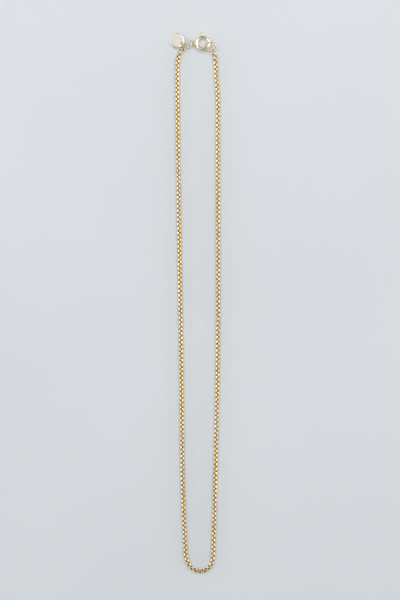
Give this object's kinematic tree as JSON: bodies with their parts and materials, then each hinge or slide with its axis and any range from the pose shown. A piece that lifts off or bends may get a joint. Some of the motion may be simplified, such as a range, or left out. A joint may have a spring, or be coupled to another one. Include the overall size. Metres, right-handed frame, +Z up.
{
  "type": "chain necklace",
  "caption": "Fine box-chain necklace lying closed in a long narrow loop, with a spring ring clasp, its rings and a small round tag at one end.",
  "frame": {"origin": "middle of the outline, on the surface that the necklace lies on", "axes": "+X across the strands toward the end ring, +Y from the drop of the loop to the clasp, +Z up"},
  "size_m": [0.0208, 0.2256, 0.0029],
  "materials": {
    "chain_gold": "polished yellow gold plate on brass, with dark hollows between the links",
    "clasp_gold": "bright polished pale gold plate",
    "tag_gold": "satin pale gold plate",
    "spring_steel": "drawn spring wire"
  },
  "bodies": {
    "drop": {"chain_drop_1": "chain_gold", "chain_drop_2": "chain_gold", "chain_drop_3": "chain_gold", "chain_drop_4": "chain_gold", "chain_drop_5": "chain_gold"},
    "left_01": {"chain_left_01": "chain_gold"},
    "right_01": {"chain_right_01": "chain_gold"},
    "left_02": {"chain_left_02": "chain_gold"},
    "right_02": {"chain_right_02": "chain_gold"},
    "left_03": {"chain_left_03": "chain_gold"},
    "right_03": {"chain_right_03": "chain_gold"},
    "left_04": {"chain_left_04": "chain_gold"},
    "right_04": {"chain_right_04": "chain_gold"},
    "left_05": {"chain_left_05": "chain_gold"},
    "right_05": {"chain_right_05": "chain_gold"},
    "left_06": {"chain_left_06": "chain_gold"},
    "right_06": {"chain_right_06": "chain_gold"},
    "left_07": {"chain_left_07": "chain_gold"},
    "right_07": {"chain_right_07": "chain_gold"},
    "left_08": {"chain_left_08": "chain_gold"},
    "right_08": {"chain_right_08": "chain_gold"},
    "left_09": {"chain_left_09": "chain_gold"},
    "right_09": {"chain_right_09": "chain_gold"},
    "left_10": {"chain_left_10": "chain_gold"},
    "right_10": {"chain_right_10": "chain_gold"},
    "left_11": {"chain_left_11": "chain_gold"},
    "right_11": {"chain_right_11": "chain_gold"},
    "left_12": {"chain_left_12": "chain_gold"},
    "right_12": {"chain_right_12": "chain_gold"},
    "left_13": {"chain_left_13": "chain_gold"},
    "right_13": {"chain_right_13": "chain_gold"},
    "left_14": {"chain_left_14": "chain_gold"},
    "right_14": {"chain_right_14": "chain_gold"},
    "left_15": {"chain_left_15": "chain_gold"},
    "right_15": {"chain_right_15": "chain_gold"},
    "left_16": {"chain_left_16": "chain_gold"},
    "right_16": {"chain_right_16": "chain_gold"},
    "left_17": {"chain_left_17": "chain_gold"},
    "right_17": {"chain_right_17": "chain_gold"},
    "left_18": {"chain_left_18": "chain_gold"},
    "right_18": {"chain_right_18": "chain_gold"},
    "left_19": {"chain_left_19": "chain_gold"},
    "right_19": {"chain_right_19": "chain_gold"},
    "left_20": {"chain_left_20": "chain_gold", "left_end_link": "chain_gold"},
    "right_20": {"chain_right_20": "chain_gold", "right_end_link": "chain_gold"},
    "left_connector": {"left_connector": "chain_gold"},
    "right_connector": {"right_connector": "chain_gold"},
    "jump_ring": {"jump_ring": "chain_gold"},
    "end_ring": {"end_ring": "chain_gold"},
    "tag_ring": {"tag_ring": "chain_gold"},
    "tag": {"tag": "tag_gold"},
    "clasp": {"clasp_body": "clasp_gold", "clasp_eyelet": "clasp_gold", "clasp_spring": "spring_steel"},
    "gate": {"clasp_gate": "clasp_gold", "clasp_trigger": "clasp_gold"}
  },
  "joints": [
    {"name": "left_flex_01", "type": "hinge", "parent": "drop", "child": "left_01", "pos_m": [-0.00409, -0.09979, 0.00075], "axis": [1, 0, 0], "range_deg": [0, 15]},
    {"name": "right_flex_01", "type": "hinge", "parent": "drop", "child": "right_01", "pos_m": [0.00776, -0.09979, 0.00075], "axis": [1, 0, 0], "range_deg": [0, 15]},
    {"name": "left_flex_02", "type": "hinge", "parent": "left_01", "child": "left_02", "pos_m": [-0.00454, -0.08959, 0.00075], "axis": [1, 0, 0], "range_deg": [0, 15]},
    {"name": "right_flex_02", "type": "hinge", "parent": "right_01", "child": "right_02", "pos_m": [0.0081, -0.08959, 0.00075], "axis": [1, 0, 0], "range_deg": [0, 15]},
    {"name": "left_flex_03", "type": "hinge", "parent": "left_02", "child": "left_03", "pos_m": [-0.00493, -0.07939, 0.00075], "axis": [1, 0, 0], "range_deg": [0, 15]},
    {"name": "right_flex_03", "type": "hinge", "parent": "right_02", "child": "right_03", "pos_m": [0.00833, -0.07939, 0.00075], "axis": [1, 0, 0], "range_deg": [0, 15]},
    {"name": "left_flex_04", "type": "hinge", "parent": "left_03", "child": "left_04", "pos_m": [-0.00512, -0.06919, 0.00075], "axis": [1, 0, 0], "range_deg": [0, 15]},
    {"name": "right_flex_04", "type": "hinge", "parent": "right_03", "child": "right_04", "pos_m": [0.00858, -0.06919, 0.00075], "axis": [1, 0, 0], "range_deg": [0, 15]},
    {"name": "left_flex_05", "type": "hinge", "parent": "left_04", "child": "left_05", "pos_m": [-0.00531, -0.05899, 0.00075], "axis": [1, 0, 0], "range_deg": [0, 15]},
    {"name": "right_flex_05", "type": "hinge", "parent": "right_04", "child": "right_05", "pos_m": [0.00882, -0.05899, 0.00075], "axis": [1, 0, 0], "range_deg": [0, 15]},
    {"name": "left_flex_06", "type": "hinge", "parent": "left_05", "child": "left_06", "pos_m": [-0.00541, -0.04879, 0.00075], "axis": [1, 0, 0], "range_deg": [0, 15]},
    {"name": "right_flex_06", "type": "hinge", "parent": "right_05", "child": "right_06", "pos_m": [0.00908, -0.04879, 0.00075], "axis": [1, 0, 0], "range_deg": [0, 15]},
    {"name": "left_flex_07", "type": "hinge", "parent": "left_06", "child": "left_07", "pos_m": [-0.00552, -0.03859, 0.00075], "axis": [1, 0, 0], "range_deg": [0, 15]},
    {"name": "right_flex_07", "type": "hinge", "parent": "right_06", "child": "right_07", "pos_m": [0.00932, -0.03859, 0.00075], "axis": [1, 0, 0], "range_deg": [0, 15]},
    {"name": "left_flex_08", "type": "hinge", "parent": "left_07", "child": "left_08", "pos_m": [-0.00566, -0.02839, 0.00075], "axis": [1, 0, 0], "range_deg": [0, 15]},
    {"name": "right_flex_08", "type": "hinge", "parent": "right_07", "child": "right_08", "pos_m": [0.00949, -0.02839, 0.00075], "axis": [1, 0, 0], "range_deg": [0, 15]},
    {"name": "left_flex_09", "type": "hinge", "parent": "left_08", "child": "left_09", "pos_m": [-0.00581, -0.01819, 0.00075], "axis": [1, 0, 0], "range_deg": [0, 15]},
    {"name": "right_flex_09", "type": "hinge", "parent": "right_08", "child": "right_09", "pos_m": [0.00965, -0.01819, 0.00075], "axis": [1, 0, 0], "range_deg": [0, 15]},
    {"name": "left_flex_10", "type": "hinge", "parent": "left_09", "child": "left_10", "pos_m": [-0.00595, -0.00799, 0.00075], "axis": [1, 0, 0], "range_deg": [0, 15]},
    {"name": "right_flex_10", "type": "hinge", "parent": "right_09", "child": "right_10", "pos_m": [0.00968, -0.00799, 0.00075], "axis": [1, 0, 0], "range_deg": [0, 15]},
    {"name": "left_flex_11", "type": "hinge", "parent": "left_10", "child": "left_11", "pos_m": [-0.0061, 0.00221, 0.00075], "axis": [1, 0, 0], "range_deg": [0, 15]},
    {"name": "right_flex_11", "type": "hinge", "parent": "right_10", "child": "right_11", "pos_m": [0.0097, 0.00221, 0.00075], "axis": [1, 0, 0], "range_deg": [0, 15]},
    {"name": "left_flex_12", "type": "hinge", "parent": "left_11", "child": "left_12", "pos_m": [-0.00626, 0.01241, 0.00075], "axis": [1, 0, 0], "range_deg": [0, 15]},
    {"name": "right_flex_12", "type": "hinge", "parent": "right_11", "child": "right_12", "pos_m": [0.00969, 0.01241, 0.00075], "axis": [1, 0, 0], "range_deg": [0, 15]},
    {"name": "left_flex_13", "type": "hinge", "parent": "left_12", "child": "left_13", "pos_m": [-0.00642, 0.02261, 0.00075], "axis": [1, 0, 0], "range_deg": [0, 15]},
    {"name": "right_flex_13", "type": "hinge", "parent": "right_12", "child": "right_13", "pos_m": [0.00968, 0.02261, 0.00075], "axis": [1, 0, 0], "range_deg": [0, 15]},
    {"name": "left_flex_14", "type": "hinge", "parent": "left_13", "child": "left_14", "pos_m": [-0.00657, 0.03281, 0.00075], "axis": [1, 0, 0], "range_deg": [0, 15]},
    {"name": "right_flex_14", "type": "hinge", "parent": "right_13", "child": "right_14", "pos_m": [0.00966, 0.03281, 0.00075], "axis": [1, 0, 0], "range_deg": [0, 15]},
    {"name": "left_flex_15", "type": "hinge", "parent": "left_14", "child": "left_15", "pos_m": [-0.00673, 0.04301, 0.00075], "axis": [1, 0, 0], "range_deg": [0, 15]},
    {"name": "right_flex_15", "type": "hinge", "parent": "right_14", "child": "right_15", "pos_m": [0.00965, 0.04301, 0.00075], "axis": [1, 0, 0], "range_deg": [0, 15]},
    {"name": "left_flex_16", "type": "hinge", "parent": "left_15", "child": "left_16", "pos_m": [-0.00688, 0.05321, 0.00075], "axis": [1, 0, 0], "range_deg": [0, 15]},
    {"name": "right_flex_16", "type": "hinge", "parent": "right_15", "child": "right_16", "pos_m": [0.00963, 0.05321, 0.00075], "axis": [1, 0, 0], "range_deg": [0, 15]},
    {"name": "left_flex_17", "type": "hinge", "parent": "left_16", "child": "left_17", "pos_m": [-0.00703, 0.06341, 0.00075], "axis": [1, 0, 0], "range_deg": [0, 15]},
    {"name": "right_flex_17", "type": "hinge", "parent": "right_16", "child": "right_17", "pos_m": [0.0096, 0.06341, 0.00075], "axis": [1, 0, 0], "range_deg": [0, 15]},
    {"name": "left_flex_18", "type": "hinge", "parent": "left_17", "child": "left_18", "pos_m": [-0.00718, 0.07361, 0.00075], "axis": [1, 0, 0], "range_deg": [0, 15]},
    {"name": "right_flex_18", "type": "hinge", "parent": "right_17", "child": "right_18", "pos_m": [0.0096, 0.07361, 0.00075], "axis": [1, 0, 0], "range_deg": [0, 15]},
    {"name": "left_flex_19", "type": "hinge", "parent": "left_18", "child": "left_19", "pos_m": [-0.00732, 0.08381, 0.00075], "axis": [1, 0, 0], "range_deg": [0, 15]},
    {"name": "right_flex_19", "type": "hinge", "parent": "right_18", "child": "right_19", "pos_m": [0.0096, 0.08381, 0.00075], "axis": [1, 0, 0], "range_deg": [0, 15]},
    {"name": "left_flex_20", "type": "hinge", "parent": "left_19", "child": "left_20", "pos_m": [-0.00739, 0.09401, 0.00075], "axis": [1, 0, 0], "range_deg": [0, 15]},
    {"name": "right_flex_20", "type": "hinge", "parent": "right_19", "child": "right_20", "pos_m": [0.00901, 0.09401, 0.00075], "axis": [1, 0, 0], "range_deg": [0, 15]},
    {"name": "left_connector_roll", "type": "hinge", "parent": "left_20", "child": "left_connector", "pos_m": [-0.00419, 0.10615, 0.00088], "axis": [-0.8366, -0.5478, 0], "range_deg": [-8, 8]},
    {"name": "right_connector_roll", "type": "hinge", "parent": "right_20", "child": "right_connector", "pos_m": [0.00753, 0.10448, 0.00072], "axis": [0.4387, -0.8676, 0.234], "range_deg": [-8, 8]},
    {"name": "jump_ring_roll", "type": "hinge", "parent": "left_20", "child": "jump_ring", "pos_m": [-0.00375, 0.10643, 0.00078], "axis": [0.8939, 0.441, 0.0805], "range_deg": [-8, 8]},
    {"name": "end_ring_roll", "type": "hinge", "parent": "right_20", "child": "end_ring", "pos_m": [0.00734, 0.10489, 0.00052], "axis": [-0.5416, 0.7575, 0.3646], "range_deg": [-8, 3]},
    {"name": "clasp_roll", "type": "hinge", "parent": "left_20", "child": "clasp", "pos_m": [-0.00077, 0.10807, 0.00105], "axis": [0.985, -0.1557, 0.0748], "range_deg": [-6, 3]},
    {"name": "trigger_slide", "type": "hinge", "parent": "clasp", "child": "gate", "pos_m": [0.00345, 0.10811, 0.00127], "axis": [-0.0523, 0.1734, 0.9835], "range_deg": [0, 32], "stiffness_Nm_per_rad": 0.006, "springref_deg": -11.46, "deforming": ["clasp_spring"]},
    {"name": "tag_ring_swing", "type": "hinge", "parent": "left_20", "child": "tag_ring", "pos_m": [-0.00433, 0.10781, 0.00187], "axis": [0.1971, 0.8315, 0.5193], "range_deg": [0, 45]},
    {"name": "tag_turn", "type": "hinge", "parent": "tag_ring", "child": "tag", "pos_m": [-0.0052, 0.10781, 0.00085], "axis": [-0.1058, 0.0764, 0.9914], "range_deg": [-20, 10]}
  ],
  "couplings": [
    {"joint": "right_flex_01", "follows": "left_flex_01", "ratio": 1},
    {"joint": "right_flex_02", "follows": "left_flex_02", "ratio": 1},
    {"joint": "right_flex_03", "follows": "left_flex_03", "ratio": 1},
    {"joint": "right_flex_04", "follows": "left_flex_04", "ratio": 1},
    {"joint": "right_flex_05", "follows": "left_flex_05", "ratio": 1},
    {"joint": "right_flex_06", "follows": "left_flex_06", "ratio": 1},
    {"joint": "right_flex_07", "follows": "left_flex_07", "ratio": 1},
    {"joint": "right_flex_08", "follows": "left_flex_08", "ratio": 1},
    {"joint": "right_flex_09", "follows": "left_flex_09", "ratio": 1},
    {"joint": "right_flex_10", "follows": "left_flex_10", "ratio": 1},
    {"joint": "right_flex_11", "follows": "left_flex_11", "ratio": 1},
    {"joint": "right_flex_12", "follows": "left_flex_12", "ratio": 1},
    {"joint": "right_flex_13", "follows": "left_flex_13", "ratio": 1},
    {"joint": "right_flex_14", "follows": "left_flex_14", "ratio": 1},
    {"joint": "right_flex_15", "follows": "left_flex_15", "ratio": 1},
    {"joint": "right_flex_16", "follows": "left_flex_16", "ratio": 1},
    {"joint": "right_flex_17", "follows": "left_flex_17", "ratio": 1},
    {"joint": "right_flex_18", "follows": "left_flex_18", "ratio": 1},
    {"joint": "right_flex_19", "follows": "left_flex_19", "ratio": 1},
    {"joint": "right_flex_20", "follows": "left_flex_20", "ratio": 1}
  ]
}
